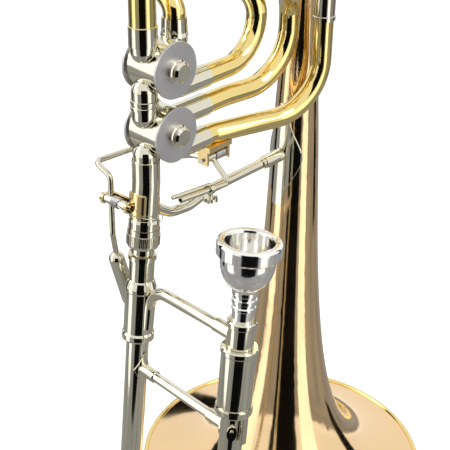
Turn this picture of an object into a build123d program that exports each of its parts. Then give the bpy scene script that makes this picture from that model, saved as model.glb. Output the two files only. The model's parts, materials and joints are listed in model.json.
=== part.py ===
from build123d import *

import os
from math import cos, radians, sin, sqrt

# Bass trombone with two in-line rotary valves, in millimetres.
# +Z runs up the bell's axis from the centre of the bell's rim, and the neck stands on -Y.
# The hand slide hangs below the neck and leans a few degrees away from the bell.

# ---------------------------------------------------------------- driving dimensions
# Bell
bell_radius = 120.6
bell_wall = 0.8
bead_radius = 1.9
flare_depth = 13.3
flare_power = 0.57
flare_shift = -2.4
stem_end = 442.0
stem_end_radius = 9.5

# Bell section
neck_spacing = 158.0
neck_bend_height = 325.0
main_tube_radius = 8.6
loop_tube_radius = 7.1
port_radius = 7.8
wall = 0.8

# Valves
valve_offset = 13.8
lower_valve_height = 357.7
upper_valve_height = 401.0
casing_radius = 16.8
casing_half_length = 13.0
rotor_radius = 14.5
plate_radius = 18.4
plate_thickness = 1.9
passage_radius = 6.6
passage_offset = 11.5
elbow_drop = 18.4
port_rise = 13.4
stop_arm_reach = 10.0
stop_angle = 45.0

# Tuning slides
main_bow_height = 522.0
first_bow_height = 622.0
second_bow_height = 600.0
sleeve_end = 508.0

# Hand slide
slide_lean = 5.83
slide_swivel = -5.6
slide_spacing = 97.0
brace_drop = 138.0
outer_tube_radius = 7.8
outer_tube_bore = 7.45
inner_tube_radius = 7.38
inner_tube_bore = 6.9
slide_bow_drop = 642.0
inner_tube_end = -602.0
outer_tube_top = 36.0

# Levers
lower_pivot_y = -172.0
lower_pivot_z = 310.3
upper_pivot_x = 1.0
upper_pivot_z = 322.2
link_plane = -25.2
upper_link_plane = -31.6
link_eye = 2.6
pin_gap = 1.6

os.makedirs("parts", exist_ok=True)

# ---------------------------------------------------------------- places
neck_y = -neck_spacing
valve_y = neck_y + valve_offset
slide_up = Vector(0, sin(radians(slide_lean)), cos(radians(slide_lean)))
slide_across = Vector(
    cos(radians(slide_swivel)),
    sin(radians(slide_swivel)) * cos(radians(slide_lean)),
    -sin(radians(slide_swivel)) * sin(radians(slide_lean)),
)
slide_origin = Vector(0, neck_y, neck_bend_height) - slide_up * brace_drop
stop_reach = stop_arm_reach * cos(radians(stop_angle))


def slide_plane(height, across=0.0):
    """Plane square to the hand slide, at a height above its outer brace."""
    origin = slide_origin + slide_up * height + slide_across * across
    return Plane(origin=origin, x_dir=slide_across, z_dir=slide_up)


def neck_plane(height):
    """Plane square to the neck tube."""
    return Plane(origin=(0, neck_y, height))


def slide_point(across, height, depth=0.0):
    """Point given across, up and through the hand slide."""
    plane = slide_plane(height, across)
    return plane.origin + plane.y_dir * depth


def flare(height):
    """Outer radius of the bell at a height above its edge."""
    edge = bell_radius - bead_radius - flare_shift
    return edge * (1 + height / flare_depth) ** -flare_power + flare_shift


def flare_slope(height):
    """Change of the bell's radius with height."""
    edge = bell_radius - bead_radius - flare_shift
    return -edge * flare_power / flare_depth * (1 + height / flare_depth) ** (-flare_power - 1)


# ---------------------------------------------------------------- shared shapes
def tube(plane, outer, bore, length):
    """Add a straight tube that starts on the plane."""
    with BuildSketch(plane) as section:
        Circle(outer)
        if bore:
            Circle(bore, mode=Mode.SUBTRACT)
    extrude(section.sketch, amount=length)


def drill(plane, radius, length):
    """Cut a straight round hole that starts on the plane."""
    with BuildSketch(plane) as section:
        Circle(radius)
    extrude(section.sketch, amount=length, mode=Mode.SUBTRACT)


def pipe(points, radii, outer, bore=0.0, mode=Mode.ADD):
    """Sweep a round tube along straight runs joined by tangent arcs."""
    with BuildLine() as route:
        FilletPolyline(*points, radius=radii)
    path = route.wire()
    with BuildSketch(Plane(origin=path @ 0, z_dir=path % 0)) as section:
        Circle(outer)
        if bore:
            Circle(bore, mode=Mode.SUBTRACT)
    sweep(section.sketch, path=path, mode=mode)


def block(low, high, mode=Mode.ADD):
    """Add a box between two opposite corners."""
    size = Vector(*high) - Vector(*low)
    with Locations(Vector(*low)):
        Box(size.X, size.Y, size.Z, align=(Align.MIN, Align.MIN, Align.MIN), mode=mode)


def turned(plane, outline, soft=0.0):
    """Turn a closed outline of (radius, height) corners about the plane's axis."""
    side = Plane(origin=plane.origin, x_dir=plane.x_dir, z_dir=-plane.y_dir)
    with BuildSketch(side) as section:
        with BuildLine():
            Polyline(*outline, close=True)
        make_face()
        if soft:
            fillet(section.vertices(), radius=soft)
    revolve(section.sketch, axis=Axis(plane.origin, plane.z_dir))


def keep(name, builder):
    """Label a finished piece and write it."""
    builder.part.label = name
    export_step(builder.part, f"parts/{name}.step")


# ---------------------------------------------------------------- bell
stem_heights = [0.0, 3.0, 8.0, 16.0, 30.0, 55.0, 95.0, 150.0, 220.0, 300.0]
outer_points = [(flare(h), bead_radius + h) for h in stem_heights]
inner_points = []
for h in stem_heights:
    length = sqrt(1 + flare_slope(h) ** 2)
    inner_points.append((flare(h) - bell_wall / length, bead_radius + h + bell_wall * flare_slope(h) / length))
outer_points += [(13.9, 368.0), (stem_end_radius, stem_end)]
inner_points += [(13.9 - bell_wall, 368.0), (stem_end_radius - bell_wall, stem_end)]

bead_centre = bell_radius - bead_radius

with BuildPart() as bell:
    with BuildSketch(Plane.XZ) as section:
        with BuildLine():
            Spline(*outer_points)
            Line(outer_points[-1], inner_points[-1])
            Spline(*inner_points)
            Line(inner_points[0], outer_points[0])
        make_face()
    revolve(axis=Axis.Z)
    with BuildSketch(Plane.XZ):
        with Locations((bead_centre, bead_radius)):
            Circle(bead_radius)
    revolve(axis=Axis.Z, mode=Mode.SUBTRACT)
keep("bell", bell)

with BuildPart() as bell_rim_bead:
    with BuildSketch(Plane.XZ):
        with Locations((bead_centre, bead_radius)):
            Circle(bead_radius)
    revolve(axis=Axis.Z)
keep("bell_rim_bead", bell_rim_bead)

# The guard plate is a pointed saddle, wrapped round the bell's stem where the brace meets it.
brace_height = 297.0
guard_thickness = 0.9
guard_low = 256.0
guard_high = 336.0

def solid_stem(points):
    """Face between the bell's axis and an outline, for a solid of revolution."""
    with BuildSketch(Plane.XZ) as section:
        with BuildLine():
            Spline(*points)
            Polyline(points[-1], (0, points[-1][1]), (0, points[0][1]), points[0])
        make_face()
    return section.sketch


with BuildPart() as bell_guard_plate:
    revolve(solid_stem([(r + guard_thickness, z) for r, z in outer_points[5:]]), axis=Axis.Z)
    with BuildSketch(Plane.XZ):
        with BuildLine():
            right_edge = Spline((4, guard_low), (8, 272), (15, 295), (8, 318), (4, guard_high))
            left_edge = Spline((-4, guard_high), (-8, 318), (-15, 295), (-8, 272), (-4, guard_low))
            Line(right_edge @ 1, left_edge @ 0)
            Line(left_edge @ 1, right_edge @ 0)
        make_face()
    extrude(amount=40, mode=Mode.INTERSECT)
    revolve(solid_stem(outer_points), axis=Axis.Z, mode=Mode.SUBTRACT)
keep("bell_guard_plate", bell_guard_plate)

nut_top = 106.0

# The brace runs straight from the bell and curves down, then up, into the neck.
brace_radius = 3.6
socket_radius = 5.0

with BuildPart() as bell_brace:
    brace_route = [
        (0, -16, brace_height), (0, -95, brace_height), (0, -118, 292), (0, -136, 294),
        (0, -153, 305),
    ]
    pipe(brace_route, [30, 20, 20], brace_radius)
    tube(Plane(origin=(0, -16, brace_height), z_dir=(0, -1, 0)), socket_radius, 0, 22)
    tube(Plane(origin=(0, -38, brace_height), z_dir=(0, -1, 0)), socket_radius - 0.5, 0, 3)
    with BuildSketch(Plane.XY.offset(200)):
        Circle(flare(brace_height - 10) + guard_thickness)
    extrude(amount=200, mode=Mode.SUBTRACT)
    drill(slide_plane(60), main_tube_radius + 1.6, 100)
keep("bell_brace", bell_brace)

with BuildPart() as bell_brace_flange:
    tube(slide_plane(100), main_tube_radius + 1.6, main_tube_radius + 0.6, 36)
    flange_side = Plane(origin=(0, neck_y, 304), x_dir=(1, 0, 0), z_dir=(0, 1, 0))
    with BuildSketch(flange_side):
        Ellipse(6, 12)
    extrude(amount=30, mode=Mode.INTERSECT)
    drill(slide_plane(100), 10.4, nut_top + 7.2 - 100)
keep("bell_brace_flange", bell_brace_flange)

# ---------------------------------------------------------------- neck
neck_end = lower_valve_height - casing_radius

with BuildPart() as neck_pipe:
    neck_route = [slide_point(0, nut_top + 7), (0, neck_y, neck_bend_height), (0, neck_y, neck_end)]
    pipe(neck_route, [60], main_tube_radius + 0.6, main_tube_radius - 0.6)
keep("neck_pipe", neck_pipe)

with BuildPart() as neck_receiver:
    turned(
        slide_plane(0),
        [
            (8.0, 96.0), (9.3, 96.0), (9.3, nut_top + 0.2), (10.3, nut_top + 0.2),
            (10.3, nut_top + 5), (9.7, nut_top + 7), (8.0, nut_top + 7),
        ],
    )
keep("neck_receiver", neck_receiver)

# The nut draws the slide's collar up into the receiver. Its rim is knurled.
knurl_count = 60
knurl_radius = 11.3

with BuildPart() as receiver_nut:
    turned(
        slide_plane(0),
        [
            (8.1, 92.4), (10.2, 92.4), (10.8, 94.4), (knurl_radius, 94.6), (knurl_radius, 101.8),
            (10.9, 102.1), (10.9, nut_top), (9.37, nut_top), (9.37, 93.9), (8.1, 93.9),
        ],
    )
    with BuildSketch(slide_plane(93.8)) as grooves:
        with PolarLocations(knurl_radius, knurl_count):
            Circle(0.3)
    extrude(grooves.sketch, amount=8.6, mode=Mode.SUBTRACT)
keep("receiver_nut", receiver_nut)

# ---------------------------------------------------------------- valves
port_end = valve_y + 42.0


def casing(height):
    """Add a valve's casing as a solid drum about X."""
    with BuildSketch(Plane(origin=(-casing_half_length, valve_y, height), z_dir=(1, 0, 0))) as drum:
        Circle(casing_radius)
    extrude(drum.sketch, amount=2 * casing_half_length)


def port_place(height, side, up):
    """Plane at the centre of a port's rounded end."""
    return Plane(origin=(0, valve_y + side * valve_offset, height + up * port_rise), z_dir=(0, 0, up))


def straight_port(height, side, up, length):
    """Add a port along Z with a rounded end that merges with the casing."""
    place = port_place(height, side, up)
    with Locations(place.location):
        Sphere(main_tube_radius - 0.2)
    tube(place, main_tube_radius - 0.2, 0, length - port_rise)
    drill(place.offset(length - port_rise), main_tube_radius, 8)


def port_hole(height, side, up, length):
    """Open a port along Z into the rotor's chamber."""
    place = port_place(height, side, up)
    with Locations(place.location):
        Sphere(main_tube_radius - 1.3, mode=Mode.SUBTRACT)
    drill(place, main_tube_radius - 1.3, length)


def chamber(height):
    """Cut the chamber that the rotor turns in."""
    drill(
        Plane(origin=(-casing_half_length, valve_y, height), z_dir=(1, 0, 0)),
        rotor_radius + 0.05,
        2 * casing_half_length,
    )


link_join = (lower_valve_height + upper_valve_height) / 2
link_half = 4.6
upper_port_end = upper_valve_height + casing_radius - 0.3


def elbow_route(height):
    """Route of the low rear port: down out of the casing, then level towards the bell."""
    return [
        (0, valve_y + 6, height - 9), (0, valve_y + 14, height - elbow_drop),
        (0, port_end, height - elbow_drop),
    ]


outlet_lift = 4.8

with BuildPart() as lower_valve_casing:
    casing(lower_valve_height)
    straight_port(lower_valve_height, -1, -1, casing_radius)
    straight_port(lower_valve_height, -1, 1, link_join - link_half - lower_valve_height)
    pipe(elbow_route(lower_valve_height), [9], port_radius)
    outlet_start = Plane(origin=(0, valve_y, lower_valve_height + outlet_lift), z_dir=(0, 1, 0))
    tube(outlet_start, port_radius, 0, port_end - valve_y)
    port_hole(lower_valve_height, -1, -1, casing_radius)
    port_hole(lower_valve_height, -1, 1, 2 * casing_radius)
    pipe(elbow_route(lower_valve_height), [9], loop_tube_radius - wall, mode=Mode.SUBTRACT)
    drill(outlet_start, loop_tube_radius - wall, port_end - valve_y)
    chamber(lower_valve_height)
keep("lower_valve_casing", lower_valve_casing)

with BuildPart() as upper_valve_casing:
    casing(upper_valve_height)
    straight_port(upper_valve_height, -1, -1, upper_valve_height - link_join - link_half)
    straight_port(upper_valve_height, -1, 1, upper_port_end - upper_valve_height)
    straight_port(upper_valve_height, 1, 1, upper_port_end - upper_valve_height)
    pipe(elbow_route(upper_valve_height), [9], port_radius)
    port_hole(upper_valve_height, -1, -1, casing_radius)
    port_hole(upper_valve_height, -1, 1, 2 * casing_radius)
    port_hole(upper_valve_height, 1, 1, 2 * casing_radius)
    pipe(elbow_route(upper_valve_height), [9], loop_tube_radius - wall, mode=Mode.SUBTRACT)
    chamber(upper_valve_height)
keep("upper_valve_casing", upper_valve_casing)

with BuildPart() as valve_link_tube:
    turned(
        neck_plane(link_join),
        [
            (7.6, -link_half), (8.4, -link_half), (8.4, -3.2), (9.1, -2.9), (9.1, -1.0), (8.6, -0.6),
            (8.6, 0.6), (9.1, 1.0), (9.1, 2.9), (8.4, 3.2), (8.4, link_half), (7.6, link_half),
        ],
    )
keep("valve_link_tube", valve_link_tube)

shaft_radius = 3.5
front_face = casing_half_length + plate_thickness
rotor_half = casing_half_length - 0.1


def rotor(height):
    """Turn a rotor with its shaft and cut its two air passages."""
    axis_start = Plane(origin=(-rotor_half, valve_y, height), z_dir=(1, 0, 0))
    tube(axis_start, rotor_radius, 0, 2 * rotor_half)
    shaft_start = Plane(origin=(-21.4, valve_y, height), z_dir=(1, 0, 0))
    tube(shaft_start, shaft_radius, 0, 21.4 + front_face + 2)
    for side in (-1, 1):
        start = Plane(origin=(0, valve_y + side * passage_offset, height - 20))
        drill(start, passage_radius, 40)


with BuildPart() as lower_rotor:
    rotor(lower_valve_height)
keep("lower_rotor", lower_rotor)

with BuildPart() as upper_rotor:
    rotor(upper_valve_height)
keep("upper_rotor", upper_rotor)

with BuildPart() as valve_end_plates:
    for height in (lower_valve_height, upper_valve_height):
        for start in (casing_half_length, -front_face):
            tube(
                Plane(origin=(start, valve_y, height), z_dir=(1, 0, 0)),
                plate_radius, shaft_radius + 0.05, plate_thickness,
            )
    fillet(valve_end_plates.edges().filter_by(GeomType.CIRCLE).group_by(SortBy.RADIUS)[-1], 0.3)
keep("valve_end_plates", valve_end_plates)

cap_radius = 7.4
cap_length = 6.4

with BuildPart() as valve_bearing_caps:
    for height in (lower_valve_height, upper_valve_height):
        turned(
            Plane(origin=(front_face, valve_y, height), z_dir=(1, 0, 0)),
            [
                (shaft_radius + 0.3, 0), (cap_radius, 0), (cap_radius, 2.0), (cap_radius - 0.8, 2.4),
                (cap_radius - 0.8, cap_length - 1.4), (cap_radius - 2.1, cap_length),
                (0, cap_length), (0, 2.5), (shaft_radius + 0.3, 2.5),
            ],
        )
keep("valve_bearing_caps", valve_bearing_caps)

arm_low = -19.2
arm_high = -16.8


def stop_arm(height, angle, pin_end):
    """Add the arm on the rotor's shaft and the pin that its link hangs on."""
    hub = Plane(origin=(arm_low, valve_y, height), z_dir=(1, 0, 0))
    tip_y = valve_y + stop_arm_reach * cos(radians(angle))
    tip_z = height + stop_arm_reach * sin(radians(angle))
    tube(hub, 5.2, 0, arm_high - arm_low)
    tube(Plane(origin=(arm_low, tip_y, tip_z), z_dir=(1, 0, 0)), 2.6, 0, arm_high - arm_low)
    with BuildSketch(Plane(origin=(arm_low, valve_y, height), x_dir=(0, 1, 0), z_dir=(1, 0, 0))) as bar:
        with Locations(Location((0, 0), angle)):
            Rectangle(stop_arm_reach, 5, align=(Align.MIN, Align.CENTER))
    extrude(bar.sketch, amount=arm_high - arm_low)
    tube(Plane(origin=(pin_end, tip_y, tip_z), z_dir=(1, 0, 0)), 1.3, 0, arm_low - pin_end)
    drill(Plane(origin=(-22, valve_y, height), z_dir=(1, 0, 0)), shaft_radius, 10)


with BuildPart() as lower_stop_arm:
    stop_arm(lower_valve_height, stop_angle, link_plane + pin_gap)
keep("lower_stop_arm", lower_stop_arm)

with BuildPart() as upper_stop_arm:
    stop_arm(upper_valve_height, -stop_angle, upper_link_plane + pin_gap)
keep("upper_stop_arm", upper_stop_arm)

bumper_angle = 76
with BuildPart() as stop_bumpers:
    for height in (lower_valve_height, upper_valve_height):
        for angle in (-bumper_angle, bumper_angle):
            bumper_y = valve_y + 9.2 * cos(radians(angle))
            bumper_z = height + 9.2 * sin(radians(angle))
            tube(Plane(origin=(-19.0, bumper_y, bumper_z), z_dir=(1, 0, 0)), 1.8, 0, 19.0 - front_face)
keep("stop_bumpers", stop_bumpers)

# ---------------------------------------------------------------- main tuning slide
with BuildPart() as neck_slide_sleeve:
    turned(
        neck_plane(0),
        [
            (7.95, upper_port_end), (9.1, upper_port_end), (9.1, 430), (8.5, 430.4),
            (8.5, sleeve_end - 4), (9.1, sleeve_end - 4), (9.1, sleeve_end), (7.95, sleeve_end),
        ],
    )
keep("neck_slide_sleeve", neck_slide_sleeve)

with BuildPart() as bell_slide_sleeve:
    turned(
        Plane.XY,
        [
            (8.35, stem_end + 0.2), (10.2, stem_end + 0.2), (10.2, stem_end + 10), (8.9, stem_end + 10.4),
            (8.9, sleeve_end - 4), (9.5, sleeve_end - 4), (9.5, sleeve_end), (8.35, sleeve_end),
        ],
    )
keep("bell_slide_sleeve", bell_slide_sleeve)

with BuildPart() as main_slide_legs:
    tube(neck_plane(450), 7.9, 7.3, main_bow_height - 450)
    tube(Plane.XY.offset(450), 8.3, 7.7, main_bow_height - 450)
keep("main_slide_legs", main_slide_legs)

with BuildPart() as main_slide_bow:
    main_bow_route = [
        (0, neck_y, sleeve_end + 0.4), (0, neck_y, main_bow_height + neck_spacing / 2 + 1),
        (0, 0, main_bow_height + neck_spacing / 2 + 1), (0, 0, sleeve_end + 0.4),
    ]
    pipe(main_bow_route, [neck_spacing / 2 - 0.5] * 2, 9.1, 8.35)
keep("main_slide_bow", main_slide_bow)

main_brace_height = sleeve_end + 8

with BuildPart() as main_slide_brace:
    tube(Plane(origin=(0, neck_y + 4, main_brace_height), z_dir=(0, 1, 0)), 3.4, 0, neck_spacing - 8)
    for start, way in ((neck_y + 4, 1), (-4, -1)):
        tube(Plane(origin=(0, start, main_brace_height), z_dir=(0, way, 0)), 4.6, 0, 15)
    for y in (neck_y, 0):
        drill(Plane(origin=(0, y, main_brace_height - 6)), 9.15, 12)
keep("main_slide_brace", main_slide_brace)

# ---------------------------------------------------------------- valve loops
first_front_x = 27.0
first_low_y = -10.0
first_high_y = -60.0
second_x = -30.0
second_low_y = -60.0
second_high_y = -125.0
loop_sleeve_start = 405.0
high_sleeve_start = 462.0
loop_sleeve_radius = 7.9

with BuildPart() as first_loop_inlet:
    inlet_height = lower_valve_height - elbow_drop
    inlet_route = [
        (0, port_end, inlet_height), (0, port_end + 6, inlet_height),
        (first_front_x, first_low_y, inlet_height), (first_front_x, first_low_y, loop_sleeve_start),
    ]
    pipe(inlet_route, [18, 38], loop_tube_radius, loop_tube_radius - wall)
keep("first_loop_inlet", first_loop_inlet)

with BuildPart() as first_loop_outlet:
    outlet_height = lower_valve_height + outlet_lift
    outlet_route = [
        (0, port_end, outlet_height), (0, port_end + 20, outlet_height), (8, -24, outlet_height),
        (8, -24, 418), (first_front_x, first_high_y, 446),
        (first_front_x, first_high_y, high_sleeve_start),
    ]
    pipe(outlet_route, [30, 38, 22, 18], loop_tube_radius, loop_tube_radius - wall)
keep("first_loop_outlet", first_loop_outlet)

with BuildPart() as second_loop_inlet:
    second_height = upper_valve_height - elbow_drop
    second_route = [
        (0, port_end, second_height), (0, -50, second_height), (0, -50, 422),
        (second_x, second_low_y, 446), (second_x, second_low_y, high_sleeve_start),
    ]
    pipe(second_route, [30, 20, 18], loop_tube_radius, loop_tube_radius - wall)
keep("second_loop_inlet", second_loop_inlet)

rear_port_y = valve_y + valve_offset
with BuildPart() as second_loop_outlet:
    rear_route = [
        (0, rear_port_y, 429.5), (0, rear_port_y, 436), (second_x, second_high_y, 456),
        (second_x, second_high_y, high_sleeve_start + 6),
    ]
    pipe(rear_route, [10, 12], loop_tube_radius, loop_tube_radius - wall)
keep("second_loop_outlet", second_loop_outlet)

with BuildPart() as rear_port_ferrule:
    turned(
        Plane(origin=(0, rear_port_y, 0)),
        [
            (6.3, upper_port_end), (8.9, upper_port_end), (8.4, upper_port_end + 2.6), (8.0, 429.3),
            (6.3, 429.3),
        ],
    )
keep("rear_port_ferrule", rear_port_ferrule)


def loop_sleeve(x, y, start, end):
    """Add a tuning slide's fixed outer leg with a ring at each end."""
    turned(
        Plane(origin=(x, y, 0)),
        [
            (7.05, start), (8.2, start), (8.2, start + 3), (7.7, start + 3.4), (7.7, end - 3.4),
            (8.2, end - 3), (8.2, end), (7.05, end),
        ],
    )


first_sleeve_end = first_bow_height - 14
second_sleeve_end = second_bow_height - 14

with BuildPart() as first_slide_sleeves:
    loop_sleeve(first_front_x, first_low_y, loop_sleeve_start + 0.2, first_sleeve_end)
    loop_sleeve(first_front_x, first_high_y, high_sleeve_start + 0.2, first_sleeve_end)
keep("first_slide_sleeves", first_slide_sleeves)

with BuildPart() as second_slide_sleeves:
    loop_sleeve(second_x, second_low_y, high_sleeve_start + 0.2, second_sleeve_end)
    loop_sleeve(second_x, second_high_y, high_sleeve_start + 6.2, second_sleeve_end)
keep("second_slide_sleeves", second_slide_sleeves)


def slide_bow(x, low_y, high_y, leg_start, bow_height, sleeve_top):
    """Add a tuning slide: two inner legs and the bow that joins them."""
    half = (low_y - high_y) / 2
    for y in (low_y, high_y):
        tube(Plane(origin=(x, y, leg_start)), 7.0, 6.4, sleeve_top + 4 - leg_start)
    route = [
        (x, low_y, sleeve_top + 0.4), (x, low_y, bow_height + half + 1),
        (x, high_y, bow_height + half + 1), (x, high_y, sleeve_top + 0.4),
    ]
    pipe(route, [half - 0.5] * 2, 7.7, 6.4)


with BuildPart() as first_slide_bow:
    slide_bow(
        first_front_x, first_low_y, first_high_y, 500, first_bow_height, first_sleeve_end,
    )
keep("first_slide_bow", first_slide_bow)

with BuildPart() as second_slide_bow:
    slide_bow(second_x, second_low_y, second_high_y, 490, second_bow_height, second_sleeve_end)
keep("second_slide_bow", second_slide_bow)


def slide_brace(x, low_y, high_y, height):
    """Add the cross brace that the tuning slide is pulled by."""
    tube(Plane(origin=(x, high_y + 4, height), z_dir=(0, 1, 0)), 2.8, 0, low_y - high_y - 8)
    for y in (low_y, high_y):
        drill(Plane(origin=(x, y, height - 10)), 7.75, 20)


with BuildPart() as first_slide_brace:
    slide_brace(first_front_x, first_low_y, first_high_y, first_bow_height - 4)
keep("first_slide_brace", first_slide_brace)

with BuildPart() as second_slide_brace:
    slide_brace(second_x, second_low_y, second_high_y, second_bow_height - 4)
keep("second_slide_brace", second_slide_brace)


def stay(start, end, start_radius, end_radius):
    """Add a short straight stay between two tubes that run along Z."""
    way = Vector(end) - Vector(start)
    tube(Plane(origin=start, z_dir=way), 2.8, 0, way.length)
    for place, radius in ((start, start_radius), (end, end_radius)):
        drill(Plane(origin=(place[0], place[1], place[2] - 15)), radius, 30)


with BuildPart() as loop_stays:
    stay((first_front_x, first_low_y, 478), (0, 0, 478), 7.75, 8.95)
    stay((first_front_x, first_high_y, 490), (first_front_x, first_low_y, 490), 7.75, 7.75)
    stay((second_x, second_low_y, 490), (second_x, second_high_y, 490), 7.75, 7.75)
    stay((second_x, second_high_y, 484), (0, neck_y, 484), 7.75, 8.55)
    stay((second_x, second_low_y, 497), (0, 0, 497), 7.75, 8.95)
keep("loop_stays", loop_stays)

# ---------------------------------------------------------------- lower lever, worked by the thumb
lever_rod = 1.9
barrel_radius = 3.0
screw_radius = 1.5
lever_rod_x = -20.0
arm_x = -33.8
link_y = valve_y + stop_reach
lower_arm_z = 331.0

with BuildPart() as lower_lever:
    lower_route = [
        (lever_rod_x, -166.5, 256), (lever_rod_x, -171, 284), (lever_rod_x, -171, 327),
        (arm_x, -171, 333), (arm_x, link_y, lower_arm_z),
    ]
    pipe(lower_route, [14, 5, 4], lever_rod)
    tube(Plane(origin=(-23, lower_pivot_y, lower_pivot_z), z_dir=(1, 0, 0)), barrel_radius, 0, 18.6)
    tube(Plane(origin=(arm_x - 2.4, link_y, lower_arm_z), z_dir=(1, 0, 0)), 2.6, 0, 4.2)
    tube(Plane(origin=(arm_x, link_y, lower_arm_z), z_dir=(1, 0, 0)), 1.3, 0, link_plane - pin_gap - arm_x)
    drill(Plane(origin=(-24, lower_pivot_y, lower_pivot_z), z_dir=(1, 0, 0)), screw_radius + 0.05, 22)
keep("lower_lever", lower_lever)

pad_radius = 5.4
pad_length = 38.0

with BuildPart() as lower_lever_pad:
    pad_start = Plane(origin=(lever_rod_x, -168.3, 264), z_dir=(0, 11.1, -37.5))
    tube(pad_start, pad_radius, 0, pad_length)
    for place in (pad_start, pad_start.offset(pad_length)):
        with Locations(place.location):
            Sphere(pad_radius)
    add(lower_lever.part, mode=Mode.SUBTRACT)
keep("lower_lever_pad", lower_lever_pad)

with BuildPart() as lower_lever_bracket:
    tube(slide_plane(115), main_tube_radius + 2.2, main_tube_radius + 0.6, 16)
    with BuildSketch(Plane(origin=(0, neck_y, 311), x_dir=(1, 0, 0), z_dir=(0, -1, 0))):
        Rectangle(14, 17)
    extrude(amount=30, mode=Mode.INTERSECT)
    with BuildSketch(Plane(origin=(0, -165, 308), x_dir=(1, 0, 0), z_dir=(0, -1, 0))):
        with Locations((-14.5, 0)):
            Rectangle(23, 10)
    extrude(amount=2)
    for start in (-26.0, -4.2):
        with BuildSketch(Plane(origin=(start, -165, lower_pivot_z), x_dir=(0, 1, 0), z_dir=(1, 0, 0))):
            with Locations((-5, -0.4)):
                RectangleRounded(10.5, 6.4, 1.5)
        extrude(amount=2.2)
    drill(slide_plane(100), main_tube_radius + 0.6, 60)
    drill(Plane(origin=(-23.6, lower_pivot_y, lower_pivot_z), z_dir=(1, 0, 0)), barrel_radius + 0.4, 19.3)
    drill(Plane(origin=(-30, lower_pivot_y, lower_pivot_z), z_dir=(1, 0, 0)), screw_radius, 40)
keep("lower_lever_bracket", lower_lever_bracket)

# ---------------------------------------------------------------- upper lever, worked by a finger
upper_low_y = -105.0
upper_high_y = -82.0
touch_x = 17.5
touch_z = 307.5
touch_rise = 4.8
touch_turn = -96.0
touch_end = -144.5
back_arm_x = -26.6
back_arm_y = -100.0
back_arm_z = upper_pivot_z - stop_reach
touch_way = Vector(0, touch_end - touch_turn, touch_rise).normalized()

with BuildPart() as upper_lever:
    touch_route = [
        (upper_pivot_x, touch_turn, upper_pivot_z), (touch_x, touch_turn, touch_z),
        (touch_x, touch_end, touch_z + touch_rise),
    ]
    pipe(touch_route, [4], lever_rod)
    pipe(
        [(upper_pivot_x, back_arm_y, upper_pivot_z), (back_arm_x + 14, back_arm_y, back_arm_z + 5),
         (back_arm_x, back_arm_y, back_arm_z)],
        [10], lever_rod,
    )
    with Locations((back_arm_x, back_arm_y, back_arm_z)):
        Sphere(2.3)
    barrel_start = Plane(origin=(upper_pivot_x, upper_low_y + 2.4, upper_pivot_z), z_dir=(0, 1, 0))
    tube(barrel_start, barrel_radius, 0, upper_high_y - upper_low_y - 4.8)
    drill(barrel_start.offset(-3), screw_radius + 0.05, 40)
    drill(Plane(origin=(touch_x, touch_end, touch_z + touch_rise), z_dir=-touch_way), 1.4, 10)
keep("upper_lever", upper_lever)

# A second rod beside the bar makes the touch longer or shorter. A fluted screw clamps its ring.
finger_rod_radius = 1.5
flute_count = 8
ring_centre = Vector(touch_x, touch_turn, touch_z) + touch_way * 19

with BuildPart() as finger_rod:
    rod_start = Plane(origin=ring_centre + Vector(-3.3, 0, 1.8) - touch_way * 2, z_dir=touch_way)
    tube(rod_start, finger_rod_radius, 0, 35)
    with Locations(rod_start.offset(35).location):
        Sphere(finger_rod_radius)
    tube(Plane(origin=ring_centre - touch_way * 2, z_dir=touch_way), 3.2, lever_rod + 0.05, 4)
keep("finger_rod", finger_rod)

with BuildPart() as finger_rod_screw:
    screw_top = Plane(origin=ring_centre - Vector(0, 0, lever_rod + 0.4))
    tube(screw_top.offset(-3.4), 1.6, 0, 3.4)
    with BuildSketch(screw_top.offset(-6.2)) as knob:
        Circle(5)
        with PolarLocations(5.4, flute_count):
            Circle(1.4, mode=Mode.SUBTRACT)
    extrude(knob.sketch, amount=2.8)
    add(finger_rod.part, mode=Mode.SUBTRACT)
keep("finger_rod_screw", finger_rod_screw)

with BuildPart() as upper_lever_bracket:
    for start in (upper_low_y, upper_high_y - 2):
        block((upper_pivot_x - 4.5, start, 318.8), (upper_pivot_x + 4.5, start + 2, 331))
    block((upper_pivot_x - 5, upper_low_y, 329), (upper_pivot_x + 6.5, upper_high_y, 332.8))
    pipe(inlet_route, [18, 38], loop_tube_radius, mode=Mode.SUBTRACT)
    add(lower_valve_casing.part, mode=Mode.SUBTRACT)
    pivot_start = Plane(origin=(upper_pivot_x, upper_low_y - 5, upper_pivot_z), z_dir=(0, 1, 0))
    drill(pivot_start, screw_radius, 40)
keep("upper_lever_bracket", upper_lever_bracket)

with BuildPart() as lever_pivot_screws:
    turned(
        Plane(origin=(-28.4, lower_pivot_y, lower_pivot_z), z_dir=(1, 0, 0)),
        [(0, 0), (2.4, 0), (2.8, 0.5), (2.8, 2.3), (1.5, 2.3), (1.5, 28), (0, 28)],
    )
    turned(
        Plane(origin=(upper_pivot_x, upper_high_y + 2.4, upper_pivot_z), z_dir=(0, -1, 0)),
        [(0, 0), (2.4, 0), (2.8, 0.5), (2.8, 2.3), (1.5, 2.3), (1.5, 27), (0, 27)],
    )
keep("lever_pivot_screws", lever_pivot_screws)

with BuildPart() as lever_springs:
    tube(
        Plane(origin=(-16.6, lower_pivot_y, lower_pivot_z), z_dir=(1, 0, 0)),
        barrel_radius + 0.9, barrel_radius + 0.1, 6.5,
    )
    tube(
        Plane(origin=(upper_pivot_x, -93.5, upper_pivot_z), z_dir=(0, 1, 0)),
        barrel_radius + 0.9, barrel_radius + 0.1, 9,
    )
    for clear in (lower_lever_bracket, upper_lever_bracket):
        add(clear.part, mode=Mode.SUBTRACT)
keep("lever_springs", lever_springs)


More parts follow.
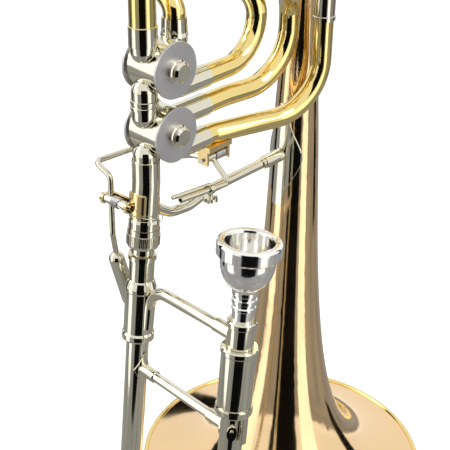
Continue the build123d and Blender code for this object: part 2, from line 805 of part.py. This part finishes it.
def link(bottom, top, plane_x):
    """Add a link rod with a flat eye at each end, in a plane of constant X."""
    start = Vector(plane_x, *bottom)
    end = Vector(plane_x, *top)
    tube(Plane(origin=start, z_dir=end - start), 1.0, 0, (end - start).length)
    for place in (start, end):
        tube(Plane(origin=place - Vector(link_eye / 2, 0, 0), z_dir=(1, 0, 0)), 3.0, 0, link_eye)


with BuildPart() as lower_link:
    link((link_y, lower_arm_z), (link_y, lower_valve_height + stop_reach), link_plane)
keep("lower_link", lower_link)

with BuildPart() as upper_link:
    link((back_arm_y, back_arm_z), (link_y, upper_valve_height - stop_reach), upper_link_plane)
keep("upper_link", upper_link)

# ---------------------------------------------------------------- inner hand slide
barrel_top = 62.0
neck_barrel_low = 22.5
mouth_barrel_low = 19.3
barrel_bore = 8.4
neck_barrel_radius = 10.3
mouth_barrel_radius = 11.3

with BuildPart() as neck_barrel:
    turned(
        slide_plane(0),
        [
            (barrel_bore, neck_barrel_low), (11.0, neck_barrel_low), (11.2, neck_barrel_low + 1),
            (11.2, 27), (10.6, 28), (neck_barrel_radius, 28.5), (neck_barrel_radius, 59),
            (10.8, 60), (10.8, 62.5), (9.3, 67), (8.6, 68), (8.6, 83), (9.7, 83.3), (9.7, 86.5),
            (8.6, 86.9), (7.9, 87.3), (7.9, 94.1), (9.2, 94.1), (9.2, 95.7), (7.9, 95.7), (7.9, 117),
            (7.5, 118), (6.9, 118), (6.9, 66), (7.45, 66), (7.45, 56), (barrel_bore, 54),
        ],
    )
keep("neck_barrel", neck_barrel)

with BuildPart() as mouth_barrel:
    turned(
        slide_plane(0, slide_spacing),
        [
            (barrel_bore, 13.8), (mouth_barrel_radius - 0.4, 13.8), (mouth_barrel_radius - 0.4, 19.6),
            (mouth_barrel_radius, 20), (mouth_barrel_radius, 57), (12.0, 58), (12.0, 61), (11.4, 61.8),
            (7.45, 61.8), (7.45, 56), (barrel_bore, 54),
        ],
    )
keep("mouth_barrel", mouth_barrel)

with BuildPart() as barrel_corks:
    for across in (0, slide_spacing):
        turned(
            slide_plane(0, across),
            [(7.5, outer_tube_top + 0.5), (8.35, outer_tube_top + 0.5), (8.35, 52), (7.5, 52)],
        )
keep("barrel_corks", barrel_corks)

with BuildPart() as inner_slide_tubes:
    for across in (0, slide_spacing):
        turned(
            slide_plane(0, across),
            [
                (inner_tube_bore, inner_tube_end), (inner_tube_radius, inner_tube_end),
                (inner_tube_radius, inner_tube_end + 110), (inner_tube_radius - 0.1, inner_tube_end + 112),
                (inner_tube_radius - 0.1, 54), (inner_tube_radius, 55), (inner_tube_radius, 65.5),
                (inner_tube_bore, 65.5),
            ],
        )
keep("inner_slide_tubes", inner_slide_tubes)

inner_brace_radius = 3.9
inner_brace_height = 66.9

with BuildPart() as inner_slide_brace:
    inner_route = [
        slide_point(slide_spacing - 2, inner_brace_height), slide_point(10.8, inner_brace_height - 1.5),
        slide_point(9.5, 34),
    ]
    pipe(inner_route, [17], inner_brace_radius)
    sleeve_start = slide_plane(inner_brace_height, slide_spacing - 2)
    tube(Plane(origin=sleeve_start.origin, z_dir=-slide_across), 4.7, 0, 20)
    drill(slide_plane(30, slide_spacing), 8.75, 60)
    drill(slide_plane(20), 10.85, 42.6)
    drill(slide_plane(62), 10.85, 20)
keep("inner_slide_brace", inner_slide_brace)

with BuildPart() as mouthpiece_receiver:
    turned(
        slide_plane(0, slide_spacing),
        [
            (7.45, 62), (8.7, 62), (8.7, 76), (9.5, 76.8), (9.5, 79.8), (9.0, 80.5), (6.9, 80.5),
            (6.45, 66), (7.45, 66),
        ],
    )
keep("mouthpiece_receiver", mouthpiece_receiver)

# ---------------------------------------------------------------- mouthpiece
rim_height = 134.4

with BuildPart() as mouthpiece:
    side = Plane(
        origin=slide_plane(0, slide_spacing).origin, x_dir=slide_across,
        z_dir=-slide_plane(0).y_dir,
    )
    with BuildSketch(side) as section:
        with BuildLine():
            outer_cup = Polyline(
                (5.8, 46), (6.85, 80.5), (7.0, 88), (7.6, 88.6), (7.6, 90.2), (7.0, 90.8), (7.0, 92.6),
                (7.9, 93.2), (7.9, 95.6), (7.2, 96.2), (7.2, 98.2), (8.2, 99), (8.2, 101.4), (8.6, 102.6),
            )
            cup_side = Spline(outer_cup @ 1, (13.0, 107), (16.2, 114), (17.0, 123.4))
            band = Polyline(cup_side @ 1, (18.9, 124.2), (20.0, 125.6), (20.2, 131.6))
            crest = Spline(
                band @ 1, (19.4, 133.7), (17.6, rim_height), (15.9, 133.9), (14.9, 132.0),
                tangents=((0, 1), (-0.25, -1)),
            )
            bowl = Spline(crest @ 1, (14.2, 124), (11.0, 113), (3.9, 104.5), (3.6, 99))
            Polyline(bowl @ 1, (4.2, 92), (5.2, 46), outer_cup @ 0)
        make_face()
    revolve(section.sketch, axis=Axis(side.origin, slide_up))
keep("mouthpiece", mouthpiece)

# ---------------------------------------------------------------- slide lock
with BuildPart() as slide_lock_ring:
    turned(
        slide_plane(0, slide_spacing),
        [
            (mouth_barrel_radius - 0.35, 14.0), (11.9, 14.0), (12.2, 14.8), (12.2, 18.4), (11.9, 19.4),
            (mouth_barrel_radius - 0.35, 19.4),
        ],
    )
    with BuildSketch(slide_plane(-5.5, slide_spacing)) as post:
        with Locations((10.6, 0)):
            RectangleRounded(2.4, 5, 0.8)
    extrude(post.sketch, amount=21)
    drill(slide_plane(13.7, slide_spacing), mouth_barrel_radius - 0.35, 6)
keep("slide_lock_ring", slide_lock_ring)

# ---------------------------------------------------------------- outer hand slide
slide_bow_height = -slide_bow_drop
outer_brace_radius = 3.4

with BuildPart() as outer_slide_tubes:
    for across in (0, slide_spacing):
        tube(
            slide_plane(slide_bow_height + 0.2, across), outer_tube_radius, outer_tube_bore,
            outer_tube_top - slide_bow_height - 0.2,
        )
keep("outer_slide_tubes", outer_slide_tubes)

lug_way = slide_across.rotate(Axis((0, 0, 0), slide_up), -45)
lug_side = Plane(origin=slide_plane(2, slide_spacing).origin, x_dir=slide_up, z_dir=lug_way)


def lug(half_height, half_width, length):
    """Add an oval stud for the slide's lock."""
    with BuildSketch(lug_side) as oval:
        Ellipse(half_height, half_width)
    extrude(oval.sketch, amount=length)


with BuildPart() as outer_slide_brace:
    lug(5.4, 3.2, 9.4)
    lug(2.6, 1.5, 10.6)
    brace_start = Plane(origin=slide_plane(0).origin, z_dir=slide_across)
    tube(brace_start, outer_brace_radius, 0, slide_spacing)
    tube(brace_start, 4.3, 0, 21)
    tube(brace_start.offset(slide_spacing - 21), 4.3, 0, 21)
    for across, way in ((0, 1), (slide_spacing, -1)):
        with BuildSketch(slide_plane(-15, across)) as skin:
            Circle(outer_tube_radius + 0.8)
        saddle = extrude(skin.sketch, amount=30, mode=Mode.PRIVATE)
        face = Plane(origin=slide_point(across, 0), x_dir=slide_up, z_dir=slide_across * way)
        with BuildSketch(face) as diamond:
            with BuildLine():
                Polyline((-14, 0), (0, 6.5), (14, 0), (0, -6.5), close=True)
            make_face()
        add(saddle & extrude(diamond.sketch, amount=12, mode=Mode.PRIVATE))
    for across in (0, slide_spacing):
        drill(slide_plane(-30, across), outer_tube_radius, 60)
keep("outer_slide_brace", outer_slide_brace)

# The end bow carries the water key's nipple and the two ears of its hinge.
half_spacing = slide_spacing / 2
bow_tube_radius = outer_tube_radius + 0.7
ferrule_length = 24.0
bow_route = [
    slide_point(0, slide_bow_height + ferrule_length), slide_point(0, slide_bow_height - half_spacing),
    slide_point(slide_spacing, slide_bow_height - half_spacing),
    slide_point(slide_spacing, slide_bow_height + ferrule_length),
]
bow_radii = [half_spacing - 0.5] * 2
key_across = half_spacing + 14
key_height = slide_bow_height - 46.5
nipple_top = 11.4
hinge_depth = 14.4


def key_plane(across, depth, height=key_height):
    """Plane that faces out of the hand slide's rear side."""
    return Plane(
        origin=slide_point(across, height, depth), x_dir=slide_across, z_dir=slide_plane(0).y_dir,
    )


key_hinge = Plane(
    origin=slide_point(half_spacing, key_height, hinge_depth), x_dir=slide_across, z_dir=slide_up,
)

with BuildPart() as hand_slide_bow:
    pipe(bow_route, bow_radii, bow_tube_radius)
    tube(key_plane(key_across, 0), 3.4, 0, nipple_top)
    for height in (-5.2, 5.2):
        with BuildSketch(key_plane(half_spacing, 2, key_height + height)) as ear:
            RectangleRounded(5, 1.6, 0.4)
        extrude(ear.sketch, amount=hinge_depth + 0.6)
    tube(key_hinge.offset(-6), 0.9, 0, 12)
    pipe(bow_route, bow_radii, outer_tube_bore, mode=Mode.SUBTRACT)
    drill(key_plane(key_across, 0), 2.0, 20)
    for across in (0, slide_spacing):
        drill(slide_plane(slide_bow_height, across), outer_tube_radius + 0.03, 30)
keep("hand_slide_bow", hand_slide_bow)

bow_bottom = slide_bow_height - half_spacing - bow_tube_radius
with BuildPart() as end_bumper:
    turned(
        slide_plane(0, half_spacing),
        [
            (0, bow_bottom + 6), (6, bow_bottom + 6), (6, bow_bottom - 5), (5, bow_bottom - 11),
            (4, bow_bottom - 12), (0, bow_bottom - 12),
        ],
    )
    pipe(bow_route, bow_radii, bow_tube_radius, mode=Mode.SUBTRACT)
keep("end_bumper", end_bumper)

# ---------------------------------------------------------------- water key
touch_across = half_spacing - 22

with BuildPart() as water_key:
    lever_route = [
        key_plane(key_across, 14).origin, key_plane(half_spacing, 16).origin,
        key_plane(touch_across, 18).origin,
    ]
    pipe(lever_route, [20], 1.4)
    tube(key_plane(key_across, nipple_top + 1.3), 4.2, 0, 1.9)
    tube(key_plane(touch_across, 17.4), 5.4, 0, 1.8)
    tube(key_hinge.offset(-4.2), 2.3, 0, 8.4)
    drill(key_hinge.offset(-10), 0.95, 20)
keep("water_key", water_key)

with BuildPart() as water_key_pad:
    tube(key_plane(key_across, nipple_top + 0.02), 3.7, 0, 1.26)
keep("water_key_pad", water_key_pad)
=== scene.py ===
import json
from math import cos, pi, radians, sin

import bpy
from mathutils import Matrix, Vector


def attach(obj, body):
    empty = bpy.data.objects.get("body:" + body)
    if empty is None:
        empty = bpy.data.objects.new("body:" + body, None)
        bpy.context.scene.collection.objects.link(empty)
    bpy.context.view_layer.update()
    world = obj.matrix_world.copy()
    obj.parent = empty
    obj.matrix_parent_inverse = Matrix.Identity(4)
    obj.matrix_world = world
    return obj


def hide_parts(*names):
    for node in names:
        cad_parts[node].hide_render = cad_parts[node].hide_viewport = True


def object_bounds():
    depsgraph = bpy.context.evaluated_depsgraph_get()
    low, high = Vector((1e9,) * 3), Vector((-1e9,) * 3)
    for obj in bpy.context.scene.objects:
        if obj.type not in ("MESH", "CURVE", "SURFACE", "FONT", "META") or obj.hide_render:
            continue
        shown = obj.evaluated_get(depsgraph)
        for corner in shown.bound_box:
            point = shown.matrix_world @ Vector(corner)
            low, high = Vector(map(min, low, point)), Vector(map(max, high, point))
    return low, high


# Bass trombone, hanging bell down. Metres, in the CAD model's own frame.
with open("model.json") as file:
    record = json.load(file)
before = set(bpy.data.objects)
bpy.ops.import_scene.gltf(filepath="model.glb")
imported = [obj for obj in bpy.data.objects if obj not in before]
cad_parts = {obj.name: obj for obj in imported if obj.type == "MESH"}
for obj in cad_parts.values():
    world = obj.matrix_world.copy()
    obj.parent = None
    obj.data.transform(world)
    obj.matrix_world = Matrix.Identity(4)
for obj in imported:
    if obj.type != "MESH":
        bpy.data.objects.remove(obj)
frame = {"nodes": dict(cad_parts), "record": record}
cad_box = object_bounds()
nodes = frame["nodes"]
scene = bpy.context.scene


# ---------------------------------------------------------------- node helpers
class Shader:
    """A material's node tree with short ways to add and join nodes."""

    def __init__(self, name):
        self.material = bpy.data.materials.new(name)
        self.material.use_nodes = True
        self.tree = self.material.node_tree
        self.shader = self.tree.nodes["Principled BSDF"]
        self.place = self.add("ShaderNodeTexCoord").outputs["Object"]

    def add(self, kind, **values):
        node = self.tree.nodes.new(kind)
        for name, value in values.items():
            setattr(node, name, value)
        return node

    def join(self, source, target):
        self.tree.links.new(source, target)

    def noise(self, scale, detail=3.0, stretch=(1, 1, 1)):
        """Noise over the object, finer as scale goes up, and longer where stretch is small."""
        spread = self.add("ShaderNodeMapping")
        spread.inputs["Scale"].default_value = stretch
        self.join(self.place, spread.inputs["Vector"])
        texture = self.add("ShaderNodeTexNoise")
        texture.inputs["Scale"].default_value = scale
        texture.inputs["Detail"].default_value = detail
        self.join(spread.outputs["Vector"], texture.inputs["Vector"])
        return texture.outputs["Fac"]

    def ramp(self, factor, low, high, start=0.3, end=0.7):
        """Turn a factor into a colour between low and high."""
        ramp = self.add("ShaderNodeValToRGB")
        ramp.color_ramp.elements[0].position = start
        ramp.color_ramp.elements[1].position = end
        ramp.color_ramp.elements[0].color = (*low, 1)
        ramp.color_ramp.elements[1].color = (*high, 1)
        self.join(factor, ramp.inputs["Fac"])
        return ramp.outputs["Color"]

    def spread(self, factor, low, high):
        """Turn a factor into a number between low and high."""
        remap = self.add("ShaderNodeMapRange")
        remap.inputs["From Min"].default_value = 0.3
        remap.inputs["From Max"].default_value = 0.7
        remap.inputs["To Min"].default_value = low
        remap.inputs["To Max"].default_value = high
        self.join(factor, remap.inputs["Value"])
        return remap.outputs["Result"]

    def bump(self, height, distance, strength=1.0):
        bump = self.add("ShaderNodeBump")
        bump.inputs["Distance"].default_value = distance
        bump.inputs["Strength"].default_value = strength
        self.join(height, bump.inputs["Height"])
        self.join(bump.outputs["Normal"], self.shader.inputs["Normal"])


def shade(colour, amount):
    return tuple(min(1.0, c * amount) for c in colour)


def metal(name, colour, low, high, ripple=0.00002, tint=0.06, coat=0.0):
    """Polished metal: a slight tone change, smears in the gloss and a faint hand-buffed ripple."""
    made = Shader(name)
    made.shader.inputs["Metallic"].default_value = 1.0
    tone = made.ramp(made.noise(9.0), shade(colour, 1 - tint), shade(colour, 1 + tint))
    made.join(tone, made.shader.inputs["Base Color"])
    smears = made.noise(45.0, 6.0, (1, 1, 0.35))
    made.join(made.spread(smears, low, high), made.shader.inputs["Roughness"])
    made.bump(made.noise(60.0, 2.0, (1, 1, 0.3)), ripple, 0.35)
    made.shader.inputs["Coat Weight"].default_value = coat
    made.shader.inputs["Coat Roughness"].default_value = 0.04
    return made.material


def satin(name, colour, low, high):
    """Fine-ground metal with a dull sheen."""
    made = Shader(name)
    made.shader.inputs["Metallic"].default_value = 1.0
    grain = made.noise(700.0, 3.0, (0.15, 1, 1))
    tone = made.ramp(grain, shade(colour, 0.94), shade(colour, 1.05))
    made.join(tone, made.shader.inputs["Base Color"])
    made.join(made.spread(made.noise(30.0, 4.0), low, high), made.shader.inputs["Roughness"])
    made.bump(grain, 0.00001, 0.5)
    return made.material


def soft(name, dark, light, scale, roughness, depth):
    """Rubber or cork: a mottled matt surface."""
    made = Shader(name)
    grain = made.noise(scale, 6.0)
    made.join(made.ramp(grain, dark, light), made.shader.inputs["Base Color"])
    gloss = made.spread(made.noise(scale / 3), roughness - 0.1, roughness)
    made.join(gloss, made.shader.inputs["Roughness"])
    made.bump(grain, depth, 0.6)
    return made.material


MATERIALS = {
    "lacquered_brass": metal("yellow_brass", (0.84, 0.66, 0.26), 0.05, 0.09, coat=0.25),
    "rose_brass": metal("rose_brass", (0.87, 0.62, 0.34), 0.07, 0.12, coat=0.25),
    "nickel_silver": metal("nickel_silver", (0.72, 0.69, 0.56), 0.05, 0.10),
    "silver_plate": metal("silver_plate", (0.90, 0.89, 0.86), 0.08, 0.14),
    "matt_nickel": satin("matt_nickel", (0.58, 0.57, 0.57), 0.38, 0.48),
    "steel": metal("steel", (0.62, 0.61, 0.60), 0.12, 0.2),
    "pale_brass": metal("pale_brass", (0.84, 0.66, 0.33), 0.16, 0.26),
    "rubber": soft("rubber", (0.012, 0.012, 0.012), (0.03, 0.03, 0.03), 400, 0.75, 0.0001),
    "cork": soft("cork", (0.30, 0.18, 0.08), (0.52, 0.36, 0.20), 900, 0.9, 0.0002),
}
slots = {entry["node"]: entry["material_slot"] for entry in frame["record"]["subparts"]}
for name, node in nodes.items():
    node.data.materials.clear()
    node.data.materials.append(MATERIALS[slots[name]])
    node.data.polygons.foreach_set("use_smooth", [True] * len(node.data.polygons))

# The neck's slide sleeve has a nickel foot below a brass tube.
SLEEVE_SPLIT = 0.4298
sleeve = nodes["neck_slide_sleeve"].data
sleeve.materials.append(MATERIALS["lacquered_brass"])
for face in sleeve.polygons:
    heights = [sleeve.vertices[i].co.z for i in face.vertices]
    face.material_index = 1 if min(heights) > SLEEVE_SPLIT else 0


# ---------------------------------------------------------------- springs
WIRE_SIDES = 10
COIL_STEPS = 20


def wire(name, points, radius, body):
    """Round wire through the points, as a mesh with capped ends."""
    path = [Vector(p) for p in points]
    sides = WIRE_SIDES
    last = len(path) - 1
    verts = []
    faces = []
    normal = (path[1] - path[0]).orthogonal().normalized()
    for i, point in enumerate(path):
        way = (path[min(i + 1, last)] - path[max(i - 1, 0)]).normalized()
        normal = (normal - way * normal.dot(way)).normalized()
        across = way.cross(normal)
        for k in range(sides):
            angle = 2 * pi * k / sides
            verts.append(point + (normal * cos(angle) + across * sin(angle)) * radius)
    for i in range(last):
        for k in range(sides):
            a, b = i * sides + k, i * sides + (k + 1) % sides
            faces.append((a, b, b + sides, a + sides))
    faces.append(tuple(range(sides))[::-1])
    faces.append(tuple(last * sides + k for k in range(sides)))
    mesh = bpy.data.meshes.new(name)
    mesh.from_pydata([tuple(v) for v in verts], [], faces)
    mesh.polygons.foreach_set("use_smooth", [True] * len(faces))
    mesh.materials.append(MATERIALS["steel"])
    piece = bpy.data.objects.new(name, mesh)
    scene.collection.objects.link(piece)
    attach(piece, body)
    return piece


def smooth_route(points, steps=8):
    """Points along a smooth curve that passes through the given ones."""
    route = [Vector(p) for p in points]
    padded = [2 * route[0] - route[1], *route, 2 * route[-1] - route[-2]]
    result = []
    for i in range(1, len(padded) - 2):
        p0, p1, p2, p3 = padded[i - 1:i + 3]
        for k in range(steps):
            t = k / steps
            low_terms = p1 * 2 + (p2 - p0) * t + (p0 * 2 - p1 * 5 + p2 * 4 - p3) * t * t
            result.append((low_terms + (p1 * 3 - p0 - p2 * 3 + p3) * t ** 3) / 2)
    return result + [route[-1]]


def coil(middle, axis, radius, length, turns):
    """Points of a coil round an axis, centred on its middle."""
    axis = Vector(axis)
    first = axis.orthogonal().normalized()
    second = axis.cross(first)
    count = int(turns * COIL_STEPS)
    points = []
    for k in range(count + 1):
        angle = 2 * pi * turns * k / count
        along = length * (k / count - 0.5)
        spoke = (first * cos(angle) + second * sin(angle)) * radius
        points.append(Vector(middle) + axis * along + spoke)
    return points


COIL_RADIUS = 0.0035
COIL_WIRE = 0.00036
LEG_WIRE = 0.0003
lower_turns = coil((-0.0134, -0.172, 0.3103), (1, 0, 0), COIL_RADIUS, 0.0064, 8.25)
lower_coil = wire("lower_spring_coil", lower_turns, COIL_WIRE, "instrument")
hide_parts("lever_springs")
upper_turns = coil((0.001, -0.089, 0.3222), (0, 1, 0), COIL_RADIUS, 0.009, 11.25)
wire("upper_spring_coil", upper_turns, COIL_WIRE, "instrument")

# The lower spring's leg lies across the neck pipe and ends at a small ring.
lower_leg = [
    (-0.0100, -0.1754, 0.3103), (-0.0030, -0.1758, 0.3090), (0.0045, -0.1725, 0.3062),
    (0.0098, -0.1665, 0.3040), (0.0118, -0.1612, 0.3030),
]
wire("lower_spring_leg", smooth_route(lower_leg), LEG_WIRE, "instrument")
HOOK_CENTRE = Vector((0.0122, -0.1585, 0.3028))
HOOK_RADIUS = 0.0026
hook = []
for angle in range(0, 361, 15):
    spoke = Vector((0, -cos(radians(angle)), sin(radians(angle)))) * HOOK_RADIUS
    hook.append(HOOK_CENTRE + spoke)
wire("lower_spring_hook", hook, LEG_WIRE, "instrument")

# ---------------------------------------------------------------- stage
FLOOR = cad_box[0][2] - 0.012
FLOOR_HALF = 15


def plane_mesh(name, corners):
    """Flat piece with the given corners."""
    mesh = bpy.data.meshes.new(name)
    mesh.from_pydata(corners, [], [tuple(range(len(corners)))])
    piece = bpy.data.objects.new(name, mesh)
    scene.collection.objects.link(piece)
    return piece


floor_corners = [(x * FLOOR_HALF, y * FLOOR_HALF, FLOOR) for x, y in ((-1, -1), (1, -1), (1, 1), (-1, 1))]
floor = plane_mesh("floor", floor_corners)
paper = Shader("paper")
paper_tone = paper.ramp(paper.noise(2.0), (0.92,) * 3, (0.94,) * 3)
paper.join(paper_tone, paper.shader.inputs["Base Color"])
paper.shader.inputs["Roughness"].default_value = 0.9
paper.shader.inputs["Specular IOR Level"].default_value = 0.1
paper.shader.inputs["Emission Color"].default_value = (1, 1, 1, 1)
paper.shader.inputs["Emission Strength"].default_value = 0.15
floor.data.materials.append(paper.material)

world = bpy.data.worlds.new("studio")
scene.world = world
world.use_nodes = True
world.node_tree.nodes["Background"].inputs["Color"].default_value = (1, 1, 1, 1)
world.node_tree.nodes["Background"].inputs["Strength"].default_value = 0.95

# Cards stand round the object. The metal mirrors them, and the camera doesn't see them.
def card_paint(name, tone, glow=0.0):
    """Matt paint of one grey tone that can glow."""
    paint = Shader(name)
    mottle = paint.ramp(paint.noise(1.5), (tone * 0.8,) * 3, (tone * 1.2,) * 3)
    paint.join(mottle, paint.shader.inputs["Base Color"])
    paint.shader.inputs["Roughness"].default_value = 1.0
    paint.shader.inputs["Specular IOR Level"].default_value = 0.0
    paint.shader.inputs["Emission Color"].default_value = (1, 0.98, 0.95, 1)
    paint.shader.inputs["Emission Strength"].default_value = glow
    return paint.material


black = card_paint("black_card", 0.004)
grey = card_paint("grey_card", 0.3)
white = card_paint("white_card", 0.8, 0.6)


def unseen(piece, paint):
    """Leave a card to the reflections only."""
    piece.data.materials.append(paint)
    piece.visible_camera = False
    piece.visible_shadow = False
    piece.visible_diffuse = False


def card(name, paint, bearing, distance, width, low, high):
    """Card at a bearing from the object, in degrees from +X towards +Y."""
    way = Vector((cos(radians(bearing)), sin(radians(bearing)), 0))
    side = Vector((-way.y, way.x, 0)) * width / 2
    middle = way * distance
    corners = []
    for sign, height in ((-1, low), (1, low), (1, high), (-1, high)):
        corners.append(middle + side * sign + Vector((0, 0, height)))
    unseen(plane_mesh(name, [tuple(c) for c in corners]), paint)


CAMERA_BEARING = -48.6
CARD_LOW = FLOOR + 0.01
GREY_RADIUS = 5
GREY_HEIGHT = FLOOR + 0.004
ring = []
for bearing in range(0, 360, 15):
    ring.append((GREY_RADIUS * cos(radians(bearing)), GREY_RADIUS * sin(radians(bearing)), GREY_HEIGHT))
unseen(plane_mesh("card_floor", ring), grey)
# Name, paint, bearing from the camera's, distance, width and height of the top.
CARDS = [
    ("card_front", black, -1, 1.3, 1.2, 0.9),
    ("card_left", black, -108, 1.6, 0.4, 1.2),
    ("card_right", black, 112, 1.6, 0.3, 1.2),
    ("card_back", black, 195, 1.8, 0.25, 1.0),
    ("panel_left", white, -68, 1.5, 0.7, 1.1),
    ("panel_right", white, 46, 1.5, 0.7, 1.1),
]
for name, paint, turn, distance, width, top in CARDS:
    card(name, paint, CAMERA_BEARING + turn, distance, width, CARD_LOW, top)


def lamp(name, place, target, size, power):
    """Rectangular lamp at a place, turned to a target."""
    light = bpy.data.lights.new(name, "AREA")
    light.shape = "RECTANGLE"
    light.size = size[0]
    light.size_y = size[1]
    light.energy = power
    piece = bpy.data.objects.new(name, light)
    piece.location = place
    piece.rotation_euler = (Vector(target) - Vector(place)).to_track_quat("-Z", "Y").to_euler()
    scene.collection.objects.link(piece)


LAMP_TARGET = (0, -0.1, 0.2)
lamp("lamp_left", (-1.6, -1.2, 1.6), LAMP_TARGET, (1.0, 1.6), 14)
lamp("lamp_right", (1.9, 0.2, 1.6), LAMP_TARGET, (0.8, 1.6), 10)

# ---------------------------------------------------------------- camera
AZIMUTH = radians(41.37)
ELEVATION = radians(28.52)
ROLL = radians(0.60)
CAMERA_PLACE = (0.4587, -0.6090, 0.6412)
back = Vector((sin(AZIMUTH) * cos(ELEVATION), -cos(AZIMUTH) * cos(ELEVATION), sin(ELEVATION)))
level = Vector((cos(AZIMUTH), sin(AZIMUTH), 0))
above = back.cross(level)
right = level * cos(ROLL) + above * sin(ROLL)
upright = back.cross(right)
camera = bpy.data.objects.new("camera", bpy.data.cameras.new("camera"))
facing = Matrix((right, upright, back)).transposed().to_4x4()
camera.matrix_world = Matrix.Translation(CAMERA_PLACE) @ facing
camera.data.lens = 88.1
camera.data.sensor_width = 36
camera.data.shift_x = 0.0178
camera.data.shift_y = 0.0029
camera.data.clip_start = 0.01
scene.collection.objects.link(camera)
scene.camera = camera

scene.view_settings.view_transform = "Standard"
scene.view_settings.exposure = 0.1
